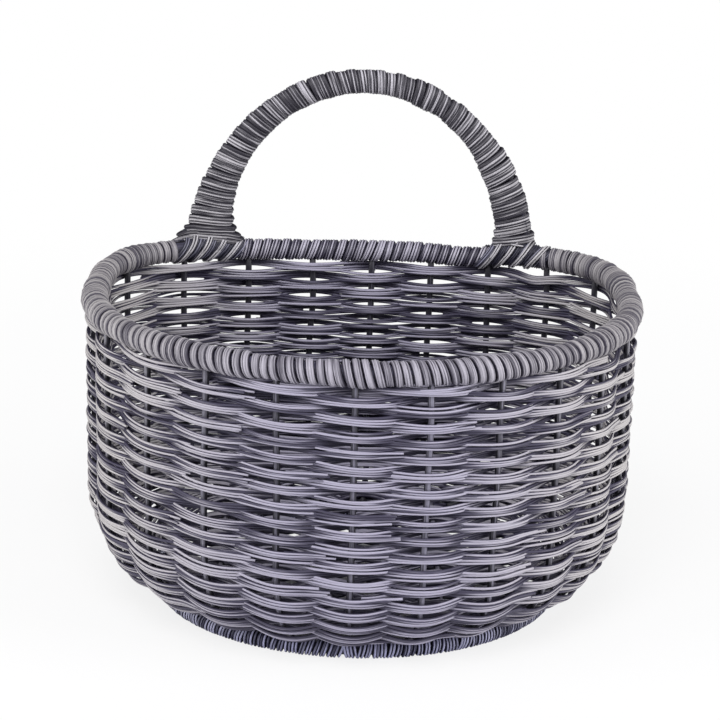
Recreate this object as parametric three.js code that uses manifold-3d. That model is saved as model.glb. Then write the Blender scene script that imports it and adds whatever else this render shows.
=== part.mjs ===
// A half-round wicker storage basket with a fixed bow at its flat back.
// Millimetres, +Z up. The origin is under the middle of the basket, on the plane it stands on;
// +X is to the right and the flat back with its bow is at +Y.
import * as THREE from 'three';
import { mergeVertices } from 'three/addons/utils/BufferGeometryUtils.js';
import Module from 'manifold-3d';

const wasm = await Module();
wasm.setup();

// Overall sizes
const OVERALL_WIDTH = 170;
const OVERALL_DEPTH = 130;
const RIM_TOP = 98;
const OVERALL_HEIGHT = 154;

// Clearance between pieces that touch on the real basket
const CLEAR = 0.3;

// Plan of the basket: half an ellipse in front and a squarer curve behind, which meet at the
// basket's widest line
const WIDEST_Y = 8;
const FRONT_EXPONENT = 2;
const BACK_EXPONENT = 3.5;

// Rods that the rim, the foot and the bow are bound on, and the strap that binds them
const RIM_ROD_RADIUS = 2.7;
const FOOT_ROD_RADIUS = 1.5;
const BOW_ROD_RADIUS = 1.2;
const STRAP_THICKNESS = 1;
const STRAP_GAP = 0.9;

// Foot ring, measured to the middle of its rod
const FOOT_HALF_WIDTH = 60.5;
const FOOT_FRONT = 45;
const FOOT_BACK = 55.5;
const FOOT_FLAT = 0.5;

// Upright stakes. The first one is near the middle of the front, and a drift spaces them wider
// in front than at the back
const STAKE_COUNT = 23;
const STAKE_RADIUS = 1.1;
const FIRST_STAKE = -8;
const STAKE_DRIFT = 6.8;
const DRIFT_START = 2.6;

// Woven wall. It stands in from the rim's middle line at the back and out from it elsewhere, and
// turns from the foot to the upright within the turn height
const WEAVE_THICKNESS = 0.8;
const WEAVE_ROWS = 35;
const WEAVE_GAP = 0.9;
const WALL_INSET = 1;
const WALL_BULGE = 0.5;
const TURN_HEIGHT = 28.6;
const SIDE_ROUNDNESS = 1.95;
const FRONT_ROUNDNESS = 2.4;

// Woven floor with its bars. A row keeps back from the floor's edge, and its turn from a bar
const BAR_COUNT = 6;
const BAR_RADIUS = 1.1;
const BAR_SPACING = 17;
const FLOOR_ROWS = 26;
const FLOOR_EDGE = 1;
const BAR_ROOM = 3.8;

// Carrying bow of two rods, which lie together over the top and part towards the rim
const BOW_HALF_SPAN = 49.5;
const BOW_ROD_GAP = 0.4;
const BOW_LOW_SPREAD = 4;
const BOW_FLARE_LENGTH = 14;

// Turns of the binding straps
const FRONT_TURNS = 35;
const BACK_TURNS = 9;
const LASHING_TURNS = 3;
const LASHING_WIDTH = 5.2;
const FOOT_TURNS = 24;
const BOW_TURNS = 23;

// Fineness of the meshes
const ROD_SIDES = 6;
const STAKE_SIDES = 5;
const HOOP_STEPS = 80;
const BOW_STEPS = 26;
const WALL_TURN_STEPS = 7;
const WALL_MEASURE_STEPS = 300;
const STRAP_STEPS = 8;
const STRAP_SPANS = 1;
const FOOT_STRAP_SPANS = 2;

const rimRadius = RIM_ROD_RADIUS + CLEAR + STRAP_THICKNESS;
const footRadius = FOOT_ROD_RADIUS + CLEAR + STRAP_THICKNESS;
const bowRadius = BOW_ROD_RADIUS + CLEAR + STRAP_THICKNESS;
const rimZ = RIM_TOP - rimRadius;
const footZ = footRadius - FOOT_FLAT;
const footTop = footZ + footRadius;
const wallHalf = STAKE_RADIUS + CLEAR + WEAVE_THICKNESS;
const wallFootZ = footTop + CLEAR + wallHalf;
const wallTopZ = RIM_TOP - 2 * rimRadius - CLEAR;

const rimPlan = {
  halfWidth: OVERALL_WIDTH / 2 - rimRadius,
  front: OVERALL_DEPTH / 2 - rimRadius,
  back: OVERALL_DEPTH / 2 - rimRadius,
};
const footPlan = { halfWidth: FOOT_HALF_WIDTH, front: FOOT_FRONT, back: FOOT_BACK };
const wallPlan = {
  halfWidth: rimPlan.halfWidth + WALL_BULGE,
  front: rimPlan.front + WALL_BULGE,
  back: rimPlan.back - WALL_INSET,
};
const floorPlan = {
  halfWidth: footPlan.halfWidth - CLEAR,
  front: footPlan.front - CLEAR,
  back: footPlan.back - CLEAR,
};

// Colours and finishes
const finishes = {
  stake: { color: 0x45444c, roughness: 0.7, metalness: 0 },
  weave: { color: 0x8b8896, roughness: 0.6, metalness: 0 },
  strap: { color: 0x9c99a6, roughness: 0.55, metalness: 0 },
  rod: { color: 0x57545c, roughness: 0.8, metalness: 0 },
};

function piece(parent, name, geometry, finish) {
  const mesh = new THREE.Mesh(geometry, new THREE.MeshStandardMaterial(finish));
  mesh.name = name;
  parent.add(mesh);
  return mesh;
}

// Plan curves

const UP = new THREE.Vector3(0, 0, 1);
const BACKWARDS = new THREE.Vector3(0, 1, 0);

// The point of a plan curve at a turning angle: a superellipse whose reach and exponent change
// at the widest line.
function planPoint(plan, angle) {
  const c = Math.cos(angle);
  const s = Math.sin(angle);
  const exponent = s < 0 ? FRONT_EXPONENT : BACK_EXPONENT;
  const reach = s < 0 ? plan.front + WIDEST_Y : plan.back - WIDEST_Y;
  const r = (Math.abs(c) ** exponent + Math.abs(s) ** exponent) ** (-1 / exponent);
  return new THREE.Vector3(plan.halfWidth * r * c, WIDEST_Y + reach * r * s, 0);
}

// The level direction along a plan curve at a turning angle, counter-clockwise.
function planTangent(plan, angle) {
  const turn = 0.002;
  return planPoint(plan, angle + turn).sub(planPoint(plan, angle - turn)).normalize();
}

// Measures a plan curve counter-clockwise from the middle of its front: its length, and the
// turning angle at any distance along it.
function planRuler(plan) {
  const samples = 1440;
  const angles = Array.from({ length: samples + 1 }, (_, i) => Math.PI * ((2 * i) / samples - 0.5));
  const along = [0];
  for (let i = 1; i <= samples; i++) {
    along.push(along[i - 1] + planPoint(plan, angles[i]).distanceTo(planPoint(plan, angles[i - 1])));
  }
  const length = along[samples];
  const angleAt = (distance) => {
    const wanted = THREE.MathUtils.euclideanModulo(distance, length);
    let i = 1;
    while (i < samples && along[i] < wanted) i++;
    const share = (wanted - along[i - 1]) / (along[i] - along[i - 1]);
    return THREE.MathUtils.lerp(angles[i - 1], angles[i], share);
  };
  return { length, angleAt };
}

const rimRuler = planRuler(rimPlan);
const footRuler = planRuler(footPlan);
const wallRuler = planRuler(wallPlan);

// Closed skins

// Joins rings of equal size into one closed skin: end to end with a cap on each end, or, as a
// loop, with its last ring joined to its first.
function loft(rings, isLoop) {
  const size = rings[0].length;
  const count = rings.length;
  const index = [];
  for (let i = 0; i < (isLoop ? count : count - 1); i++) {
    for (let j = 0; j < size; j++) {
      const a = i * size + j;
      const b = i * size + ((j + 1) % size);
      const c = ((i + 1) % count) * size + j;
      const d = ((i + 1) % count) * size + ((j + 1) % size);
      index.push(a, b, d, a, d, c);
    }
  }
  if (!isLoop) {
    const last = (count - 1) * size;
    for (let j = 1; j < size - 1; j++) {
      index.push(0, j + 1, j);
      index.push(last, last + j, last + j + 1);
    }
  }
  return facingOut(new THREE.BufferGeometry().setFromPoints(rings.flat()).setIndex(index));
}

// Turns a closed skin's faces round where they point inwards.
function facingOut(geometry) {
  const position = geometry.getAttribute('position');
  const index = Array.from(geometry.index.array);
  const corner = (i) => new THREE.Vector3().fromBufferAttribute(position, index[i]);
  let volume = 0;
  for (let i = 0; i < index.length; i += 3) {
    volume += corner(i).dot(corner(i + 1).cross(corner(i + 2)));
  }
  geometry.setIndex(volume < 0 ? index.reverse() : index);
  geometry.computeVertexNormals();
  return geometry;
}

function toSolid(geometry) {
  const bare = geometry.clone().deleteAttribute('normal').deleteAttribute('uv');
  const merged = mergeVertices(bare);
  return new wasm.Manifold(new wasm.Mesh({
    numProp: 3,
    vertProperties: merged.getAttribute('position').array,
    triVerts: new Uint32Array(merged.index.array),
  }));
}

function fromSolid(solid) {
  const mesh = solid.getMesh();
  const geometry = new THREE.BufferGeometry();
  geometry.setAttribute('position', new THREE.BufferAttribute(mesh.vertProperties, 3));
  geometry.setIndex(new THREE.BufferAttribute(mesh.triVerts, 1));
  geometry.computeVertexNormals();
  return geometry;
}

// The corners of a round section about a place, in the plane of two directions.
function roundSection(place, first, second, radius, sides) {
  return Array.from({ length: sides }, (_, j) => {
    const angle = (2 * Math.PI * (j + 0.5)) / sides;
    return place.clone()
      .addScaledVector(first, radius * Math.sin(angle))
      .addScaledVector(second, radius * Math.cos(angle));
  });
}

// Hoops of the rim and the foot

// Where a hoop's rod is at a distance along it, with its outward and upward directions.
function hoopAt(plan, ruler, z, distance) {
  const angle = ruler.angleAt(distance);
  return { place: planPoint(plan, angle).setZ(z), side: planTangent(plan, angle).cross(UP), up: UP };
}

const rimAt = (distance) => hoopAt(rimPlan, rimRuler, rimZ, distance);
const footAt = (distance) => hoopAt(footPlan, footRuler, footZ, distance);

function hoop(at, length, radius) {
  const rings = Array.from({ length: HOOP_STEPS }, (_, i) => {
    const { place, side, up } = at((length * i) / HOOP_STEPS);
    return roundSection(place, up, side, radius, ROD_SIDES);
  });
  return loft(rings, true);
}

// Binding straps

// The sections of a flat strap that is bound round rods as one unbroken band, from one count of
// turns to another. Each runs along the rods from the band's near edge to its far edge, in
// spans, and back along the strap's inner face. edges gives the distances of those two edges at
// a count of turns, and at gives the middle of the rod that the band passes there and its two
// directions. At a whole turn the band is at topAngle.
function strap(fromTurn, toTurn, topAngle, radius, spans, edges, at) {
  const flat = Math.cos(Math.PI / STRAP_STEPS);
  const corner = (distance, angle, faceRadius) => {
    const { place, side, up } = at(distance, Math.sign(Math.cos(angle)));
    return place
      .addScaledVector(side, (faceRadius / flat) * Math.cos(angle))
      .addScaledVector(up, (faceRadius / flat) * Math.sin(angle));
  };
  return Array.from({ length: Math.round((toTurn - fromTurn) * STRAP_STEPS) }, (_, i) => {
    const turn = fromTurn + (i + 0.5) / STRAP_STEPS;
    const angle = topAngle + 2 * Math.PI * turn;
    const [near, far] = edges(turn);
    const places = Array.from({ length: spans + 1 }, (_, j) => near + ((far - near) * j) / spans);
    const outer = places.map((distance) => corner(distance, angle, radius));
    const inner = places.map((distance) => corner(distance, angle, radius - STRAP_THICKNESS));
    return [...outer, ...inner.reverse()];
  });
}

// The least gap between a strap and itself, from the corners of each far edge to the corners of
// the near edge one turn on.
function leastGap(sections) {
  const size = sections[0].length;
  let least = Infinity;
  for (let i = 0; i + STRAP_STEPS + 1 < sections.length; i++) {
    for (const far of sections[i].slice(size / 2 - 1, size / 2 + 1)) {
      for (const next of sections.slice(i + STRAP_STEPS - 1, i + STRAP_STEPS + 2)) {
        least = Math.min(least, far.distanceTo(next[0]), far.distanceTo(next[size - 1]));
      }
    }
  }
  return least;
}

function boundStrap(parent, name, sections) {
  console.log(name + ' clears itself by ' + leastGap(sections).toFixed(2) + ' mm');
  return piece(parent, name, loft(sections, false), finishes.strap);
}

// Rim. Its turns are counted from the right foot of the bow along the back and on round the
// front, so that a whole turn lies on top of the rim at the middle of each foot.

// Distance along the rim of its point at x on the right half of the back.
function backDistance(x) {
  const nearEnough = 1e-6;
  let near = rimRuler.length / 4;
  let far = rimRuler.length / 2;
  while (far - near > nearEnough) {
    const middle = (near + far) / 2;
    if (rimAt(middle).place.x > x) near = middle;
    else far = middle;
  }
  return near;
}

const rightFoot = backDistance(BOW_HALF_SPAN);
const leftFoot = rimRuler.length - rightFoot;

function rimDistance(turn) {
  const count = THREE.MathUtils.euclideanModulo(turn, BACK_TURNS + FRONT_TURNS);
  if (count < BACK_TURNS) return THREE.MathUtils.lerp(rightFoot, leftFoot, count / BACK_TURNS);
  const share = (count - BACK_TURNS) / FRONT_TURNS;
  return THREE.MathUtils.lerp(leftFoot, rimRuler.length + rightFoot, share);
}

// The edges of a band that fills its turn but for the strap gap.
function fullBand(turn) {
  const step = rimDistance(turn + 0.5) - rimDistance(turn - 0.5);
  const width = THREE.MathUtils.euclideanModulo(step, rimRuler.length) - STRAP_GAP;
  return [rimDistance(turn) - width / 2, rimDistance(turn) + width / 2];
}

function lashingBand(turn) {
  return [rimDistance(turn) - LASHING_WIDTH / 2, rimDistance(turn) + LASHING_WIDTH / 2];
}

function rimStrap(fromTurn, toTurn, edges) {
  return strap(fromTurn, toTurn, Math.PI / 2, rimRadius, STRAP_SPANS, edges, rimAt);
}

function rim() {
  const group = new THREE.Group();
  const lash = LASHING_TURNS / 2;
  const frontMiddle = BACK_TURNS + Math.floor(FRONT_TURNS / 2) + 0.5;
  const allTurns = BACK_TURNS + FRONT_TURNS;
  piece(group, 'rim_rod', hoop(rimAt, rimRuler.length, RIM_ROD_RADIUS), finishes.rod);
  boundStrap(group, 'bow_lashing_right', rimStrap(-lash, lash, lashingBand));
  boundStrap(group, 'rim_binding_back', rimStrap(lash, BACK_TURNS - lash, fullBand));
  boundStrap(group, 'bow_lashing_left', rimStrap(BACK_TURNS - lash, BACK_TURNS + lash, lashingBand));
  boundStrap(group, 'rim_binding_left', rimStrap(BACK_TURNS + lash, frontMiddle, fullBand));
  boundStrap(group, 'rim_binding_right', rimStrap(frontMiddle, allTurns - lash, fullBand));
  return group;
}

// Foot: a bound ring, worn flat where the basket stands on it.

function foot() {
  const group = new THREE.Group();
  const pitch = footRuler.length / FOOT_TURNS;
  const edges = (turn) => [pitch * turn, pitch * (turn + 1) - STRAP_GAP];
  const fromTurn = 0.5;
  const toTurn = fromTurn + FOOT_TURNS;
  const sections = strap(fromTurn, toTurn, -Math.PI / 2, footRadius, FOOT_STRAP_SPANS, edges, footAt);
  const binding = boundStrap(group, 'foot_binding', sections);
  const ground = new THREE.BoxGeometry(2 * OVERALL_WIDTH, 2 * OVERALL_DEPTH, OVERALL_HEIGHT);
  ground.translate(0, 0, -OVERALL_HEIGHT / 2);
  binding.geometry = fromSolid(toSolid(binding.geometry).subtract(toSolid(ground)));
  piece(group, 'foot_rod', hoop(footAt, footRuler.length, FOOT_ROD_RADIUS), finishes.rod);
  return group;
}

// Woven wall and its stakes

const stakePitch = wallRuler.length / STAKE_COUNT;
const wallLevels = [...Array.from({ length: WALL_TURN_STEPS + 1 }, (_, i) => i / WALL_TURN_STEPS), 2];

// The turning angle of a stake. The stakes stand wider apart in front than at the back: a cosine
// with one period round the basket moves each of them along the wall.
function stakeAngle(k) {
  const drift = STAKE_DRIFT * Math.cos((2 * Math.PI * (k - DRIFT_START)) / STAKE_COUNT);
  return wallRuler.angleAt(FIRST_STAKE + k * stakePitch + drift);
}

// The wall's middle surface. From level 0 to 1 it leaves the foot level and turns upright along
// a quarter of a superellipse, rounder in front than at the sides; from 1 to 2 it stands
// straight up to the rim. out turns with it, from straight down to straight outwards.
function wallAt(angle, level) {
  const phi = (Math.PI / 2) * Math.min(level, 1);
  const roundness = THREE.MathUtils.lerp(SIDE_ROUNDNESS, FRONT_ROUNDNESS, Math.sin(angle) ** 2);
  const outwards = Math.sin(phi) ** (2 / roundness);
  const upwards = level < 1 ? 1 - Math.cos(phi) ** (2 / roundness) : 1;
  const turnedZ = wallFootZ + TURN_HEIGHT * upwards;
  const place = planPoint(footPlan, angle).lerp(planPoint(wallPlan, angle), outwards);
  place.setZ(level > 1 ? THREE.MathUtils.lerp(turnedZ, wallTopZ, level - 1) : turnedZ);
  const side = planTangent(wallPlan, angle);
  const out = side.clone().cross(UP).multiplyScalar(Math.sin(phi)).addScaledVector(UP, -Math.cos(phi));
  return { place, side, out };
}

function stake(k) {
  const rings = wallLevels.map((level) => {
    const { place, side, out } = wallAt(stakeAngle(k), level);
    return roundSection(place, side, out, STAKE_RADIUS, STAKE_SIDES);
  });
  return loft(rings, false);
}

// The way up the wall at each of many levels, as the mean of a section through its front, its
// side and its back.
const wallWay = [0];
for (let i = 1; i <= WALL_MEASURE_STEPS; i++) {
  const steps = [-Math.PI / 2, 0, Math.PI / 2].map((angle) => {
    const { place } = wallAt(angle, (2 * (i - 1)) / WALL_MEASURE_STEPS);
    return place.distanceTo(wallAt(angle, (2 * i) / WALL_MEASURE_STEPS).place);
  });
  wallWay.push(wallWay[i - 1] + (steps[0] + steps[1] + steps[2]) / 3);
}
const wallHeight = wallWay[WALL_MEASURE_STEPS];

// The level at a distance up the wall.
function levelAt(distance) {
  let i = 1;
  while (i < WALL_MEASURE_STEPS && wallWay[i] < distance) i++;
  const share = (distance - wallWay[i - 1]) / (wallWay[i] - wallWay[i - 1]);
  return (2 * (i - 1 + share)) / WALL_MEASURE_STEPS;
}

// The weave: one flat bundle of strands that winds up the wall from stake to stake, in front of
// one and behind the next. The stakes are an odd number, so it changes sides on each round.
function wovenWall() {
  const crossings = WEAVE_ROWS * STAKE_COUNT;
  const pitch = wallHeight / (WEAVE_ROWS + 1);
  const rowHalf = (pitch - WEAVE_GAP) / 2;
  const lean = wallHalf - WEAVE_THICKNESS / 2;
  const sections = Array.from({ length: crossings + 1 }, (_, i) => {
    const middle = rowHalf + (pitch * i) / STAKE_COUNT;
    const side = i % 2 === 0 ? lean : -lean;
    const corner = (up, outwards) => {
      const { place, out } = wallAt(stakeAngle(i), levelAt(middle + up * rowHalf));
      return place.addScaledVector(out, side + (outwards * WEAVE_THICKNESS) / 2);
    };
    return [corner(-1, -1), corner(-1, 1), corner(1, 1), corner(1, -1)];
  });
  console.log('woven_wall clears itself by ' + leastRowGap(sections).toFixed(2) + ' mm');
  return loft(sections, false);
}

// The least gap between two rows of the weave, half way between stakes, where they cross.
function leastRowGap(sections) {
  const crossing = (i, j) => sections[i][j].clone().lerp(sections[i + 1][j], 0.5);
  let least = Infinity;
  for (let i = 0; i + STAKE_COUNT + 1 < sections.length; i++) {
    for (const below of [crossing(i, 2), crossing(i, 3)]) {
      for (const above of [crossing(i + STAKE_COUNT, 0), crossing(i + STAKE_COUNT, 1)]) {
        least = Math.min(least, below.distanceTo(above));
      }
    }
  }
  return least;
}

function wall() {
  const group = new THREE.Group();
  piece(group, 'woven_wall', wovenWall(), finishes.weave);
  for (let k = 0; k < STAKE_COUNT; k++) {
    piece(group, 'stake_' + String(k + 1).padStart(2, '0'), stake(k), finishes.stake);
  }
  return group;
}

// Floor: a weaver that goes from side to side on the foot ring, over one bar and under the next.

const floorHalf = BAR_RADIUS + CLEAR + WEAVE_THICKNESS;
const floorPitch = (floorPlan.front + floorPlan.back) / (FLOOR_ROWS + 1);

const barX = (i) => (i - (BAR_COUNT - 1) / 2) * BAR_SPACING;

// Half of the width that a row of the floor at y has, inside the floor's edge.
function floorWidth(y) {
  const [reach, exponent] = y < WIDEST_Y
    ? [floorPlan.front + WIDEST_Y, FRONT_EXPONENT]
    : [floorPlan.back - WIDEST_Y, BACK_EXPONENT];
  const share = 1 - ((Math.abs(y - WIDEST_Y) + floorPitch / 2) / reach) ** exponent;
  return floorPlan.halfWidth * share ** (1 / exponent) - FLOOR_EDGE;
}

// A section of the floor's weaver at a place: half its width to either side along x and y, and
// half its thickness up and down.
function floorSection(x, y, z, widthX, widthY) {
  const corner = (across, up) =>
    new THREE.Vector3(x + across * widthX, y + across * widthY, z + (up * WEAVE_THICKNESS) / 2);
  return [corner(-1, -1), corner(1, -1), corner(1, 1), corner(-1, 1)];
}

// Each row crosses the bars that are within its width, and the weaver turns at the row's end with
// two mitred corners. Where a turn would come too near to a bar, it stops short of it.
function floorPanel() {
  const half = (floorPitch - WEAVE_GAP) / 2;
  const lean = floorHalf - WEAVE_THICKNESS / 2;
  const rowY = (row) => -floorPlan.front + (row + 1) * floorPitch;
  const bars = Array.from({ length: BAR_COUNT }, (_, i) => barX(i));
  const turnX = (row) => {
    const widest = Math.min(floorWidth(rowY(row)), floorWidth(rowY(row + 1))) - half;
    const tooNear = bars.find((bar) => Math.abs(widest - bar) < BAR_ROOM);
    return tooNear === undefined ? widest : tooNear - BAR_ROOM;
  };
  const sections = [];
  for (let row = 0; row < FLOOR_ROWS; row++) {
    const heading = row % 2 === 0 ? 1 : -1;
    const isFirst = row === 0;
    const isLast = row === FLOOR_ROWS - 1;
    const start = turnX(isFirst ? row : row - 1);
    const end = turnX(isLast ? row - 1 : row);
    const addSection = (x, z, widthX) => {
      sections.push(floorSection(x, rowY(row), z, widthX, heading * half));
    };
    addSection(-heading * start, floorHalf, isFirst ? 0 : half);
    for (const bar of bars.filter((place) => -start < place && place < end)) {
      const x = heading * bar;
      const side = (Math.round((x - bars[0]) / BAR_SPACING) + row) % 2 === 0 ? lean : -lean;
      addSection(x, floorHalf + side, 0);
    }
    addSection(heading * end, floorHalf, isLast ? 0 : -half);
  }
  return loft(sections, false);
}

// How far the floor reaches forwards and back at a distance from its middle line.
function floorReach(x) {
  const share = Math.min(1, x / floorPlan.halfWidth);
  const front = (1 - share ** FRONT_EXPONENT) ** (1 / FRONT_EXPONENT);
  const back = (1 - share ** BACK_EXPONENT) ** (1 / BACK_EXPONENT);
  return [
    WIDEST_Y - front * (floorPlan.front + WIDEST_Y),
    WIDEST_Y + back * (floorPlan.back - WIDEST_Y),
  ];
}

function floor() {
  const group = new THREE.Group();
  group.position.z = footTop + CLEAR;
  piece(group, 'floor_panel', floorPanel(), finishes.weave);
  for (let i = 0; i < BAR_COUNT; i++) {
    const [front, back] = floorReach(Math.abs(barX(i)) + BAR_RADIUS);
    const rod = new THREE.CylinderGeometry(BAR_RADIUS, BAR_RADIUS, back - front, ROD_SIDES);
    const bar = piece(group, 'floor_bar_' + (i + 1), rod, finishes.stake);
    bar.position.set(barX(i), (front + back) / 2, floorHalf);
  }
  return group;
}

// Bow. Its rods stand on the rim rod, between the turns of the lashings.

const bowSeatZ = rimZ + RIM_ROD_RADIUS + CLEAR;
const bowY = rimAt(rightFoot).place.y;
const topSpread = BOW_ROD_RADIUS + BOW_ROD_GAP / 2;
const bowRise = OVERALL_HEIGHT - rimZ - topSpread - bowRadius;
const bowFootAngle = Math.asin((bowSeatZ - rimZ) / bowRise);
const bowCurve = new THREE.EllipseCurve(
  0, rimZ, BOW_HALF_SPAN, bowRise, bowFootAngle, Math.PI - bowFootAngle,
);
const bowLength = bowCurve.getLength();

// The bow's middle line, half an ellipse above the rim, at a distance from its right foot.
function bowMiddle(distance) {
  const share = THREE.MathUtils.clamp(distance / bowLength, 0, 1);
  const p = bowCurve.getPointAt(share);
  const t = bowCurve.getTangentAt(share);
  return { place: new THREE.Vector3(p.x, bowY, p.y), side: new THREE.Vector3(t.y, 0, -t.x) };
}

// The outer rod (sign 1) or the inner one (sign -1) beside the middle line, without its flare.
function besideMiddle(distance, sign) {
  const { place, side } = bowMiddle(distance);
  const fromTop = Math.abs(1 - (2 * distance) / bowLength);
  const spread = THREE.MathUtils.lerp(topSpread, BOW_LOW_SPREAD, fromTop ** 2);
  return { place: place.addScaledVector(side, sign * spread), side, up: BACKWARDS };
}

// The middle of a rod of the bow. Towards its foot it is drawn to its seat on the rim rod, half
// a turn of the lashing from the middle of the foot.
function bowRodAt(distance, sign) {
  const isRight = distance < bowLength / 2;
  const end = isRight ? 0 : bowLength;
  const seat = rimAt(rimDistance(isRight ? -sign / 2 : BACK_TURNS + sign / 2)).place.setZ(bowSeatZ);
  const flare = Math.max(0, 1 - Math.abs(distance - end) / BOW_FLARE_LENGTH) ** 2;
  const rod = besideMiddle(distance, sign);
  rod.place.addScaledVector(seat.sub(besideMiddle(end, sign).place), flare);
  return rod;
}

function bowRod(sign) {
  const rings = Array.from({ length: BOW_STEPS + 1 }, (_, i) => {
    const { place, side, up } = bowRodAt((bowLength * i) / BOW_STEPS, sign);
    return roundSection(place, up, side, BOW_ROD_RADIUS, ROD_SIDES);
  });
  return loft(rings, false);
}

// The distance at which the bow's binding starts, with its lowest corner just above the rim.
function bindingStart() {
  const step = 0.1;
  const reach = bowRadius / Math.cos(Math.PI / STRAP_STEPS);
  const lowest = (distance) => {
    const { place, side } = bowRodAt(distance, -1);
    return place.z - reach * Math.abs(side.z);
  };
  let start = 0;
  while (lowest(start) < RIM_TOP + CLEAR) start += step;
  return start;
}

// The binding's first turn starts level along the rim and its last one ends so, each as a taper.
function bowBinding() {
  const taper = 2 / STRAP_STEPS;
  const start = bindingStart();
  const end = bowLength - start;
  const pitch = (end - start) / BOW_TURNS;
  const edges = (turn) => [
    Math.max(start, start + pitch * (turn - 1)),
    Math.min(end, start + pitch * turn - STRAP_GAP),
  ];
  return strap(taper, BOW_TURNS + 1 - taper, Math.PI / 2, bowRadius, STRAP_SPANS, edges, bowRodAt);
}

function bow() {
  const group = new THREE.Group();
  piece(group, 'bow_rod_outer', bowRod(1), finishes.rod);
  piece(group, 'bow_rod_inner', bowRod(-1), finishes.rod);
  boundStrap(group, 'bow_binding', bowBinding());
  return group;
}

const basket = new THREE.Group();
basket.add(rim(), foot(), wall(), floor(), bow());

export default basket;
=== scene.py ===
# %% [markdown]
# # A half-round wicker storage basket
# The CAD model gives the basket's true size: rods, stakes, a wall, a floor and bindings as plain
# solids. Here each of them gets the surface that a basket maker's hands leave: hundreds of thin
# strands of grey-washed cane that go over and under the stakes and round and round the rods.
# Everything below works in millimetres and in the CAD model's own frame, where +Z is up, +X is
# to the right and the flat back with its bow is at +Y.

import bpy
import numpy as np
from mathutils import Matrix, Vector


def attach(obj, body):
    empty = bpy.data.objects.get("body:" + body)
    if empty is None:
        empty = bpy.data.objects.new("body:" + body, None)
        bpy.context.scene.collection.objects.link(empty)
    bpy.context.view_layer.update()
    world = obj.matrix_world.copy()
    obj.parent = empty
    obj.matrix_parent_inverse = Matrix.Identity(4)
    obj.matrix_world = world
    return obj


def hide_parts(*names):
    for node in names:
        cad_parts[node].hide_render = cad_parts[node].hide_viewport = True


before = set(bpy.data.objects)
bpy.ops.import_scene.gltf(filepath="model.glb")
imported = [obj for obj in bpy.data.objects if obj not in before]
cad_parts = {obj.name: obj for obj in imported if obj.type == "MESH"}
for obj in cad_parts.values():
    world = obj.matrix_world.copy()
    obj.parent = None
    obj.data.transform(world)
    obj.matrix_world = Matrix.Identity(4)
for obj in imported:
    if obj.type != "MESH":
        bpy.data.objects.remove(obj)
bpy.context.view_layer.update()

MM = 0.001
print("CAD nodes:", len(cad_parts))


def new_object(name, data):
    """An object with the given data, linked into the scene."""
    thing = bpy.data.objects.new(name, data)
    bpy.context.scene.collection.objects.link(thing)
    return thing


# %% [markdown]
# ## The camera
# A photograph of a small thing from close by has a long lens and looks down on it a little. The
# place, in millimetres, and the three angles, in radians, were found by matching the outlines of
# rim, bow and foot. A camera in Blender looks along its own -Z, with +X to the right of the
# picture and +Y up, so its matrix is built from those three directions.

# %% Camera
CAMERA_PLACE = (-15.0, -688.19, 313.55)
LOOK_DOWN = 0.3309
LOOK_RIGHT = 0.0209
TILT = 0.0265
LENS = 120.27

turn = np.array([np.cos(LOOK_RIGHT), np.sin(LOOK_RIGHT)])
dip = np.array([np.cos(LOOK_DOWN), np.sin(LOOK_DOWN)])
forwards = np.array([turn[1] * dip[0], turn[0] * dip[0], -dip[1]])
level = np.array([turn[0], -turn[1], 0])
upwards = np.cross(level, forwards)
camera_x = np.cos(TILT) * level + np.sin(TILT) * upwards
camera_y = np.cos(TILT) * upwards - np.sin(TILT) * level

camera_data = bpy.data.cameras.new("camera")
camera_data.lens = LENS
camera = new_object("camera", camera_data)
axes = np.column_stack([camera_x, camera_y, -forwards, np.array(CAMERA_PLACE) * MM])
camera.matrix_world = Matrix([list(row) for row in axes] + [[0, 0, 0, 1]])
bpy.context.scene.camera = camera
print(f"the camera stands {np.linalg.norm(CAMERA_PLACE):.0f} mm from the basket's foot")

# %% [markdown]
# ## Shader arithmetic in plain Python
# A procedural finish is a sum of many small effects: streaks, fibres, a tint here and there. Wired
# by hand that is a thicket of Math nodes. Wrapping a socket in a small class lets the same thing
# be written as an expression, and the class adds the nodes.

# %% A socket that does arithmetic
class Wire:
    """One output of a shader node. Arithmetic on it adds a Math node and gives its output."""

    def __init__(self, finish, socket):
        self.finish = finish
        self.socket = socket

    def math(self, operation, first, second):
        """Adds the Math node of an operation on two values."""
        return self.finish.add("Math", {"operation": operation}, {0: first, 1: second})

    def __add__(self, other):
        return self.math("ADD", self, other)

    def __radd__(self, other):
        return self.math("ADD", other, self)

    def __sub__(self, other):
        return self.math("SUBTRACT", self, other)

    def __rsub__(self, other):
        return self.math("SUBTRACT", other, self)

    def __mul__(self, other):
        return self.math("MULTIPLY", self, other)

    def __rmul__(self, other):
        return self.math("MULTIPLY", other, self)

    def eased(self, low, high):
        """0 below low, 1 above high, and a smooth step between them."""
        settings = {"interpolation_type": "SMOOTHSTEP"}
        return self.finish.add("MapRange", settings, {"Value": self, 1: low, 2: high})


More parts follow.
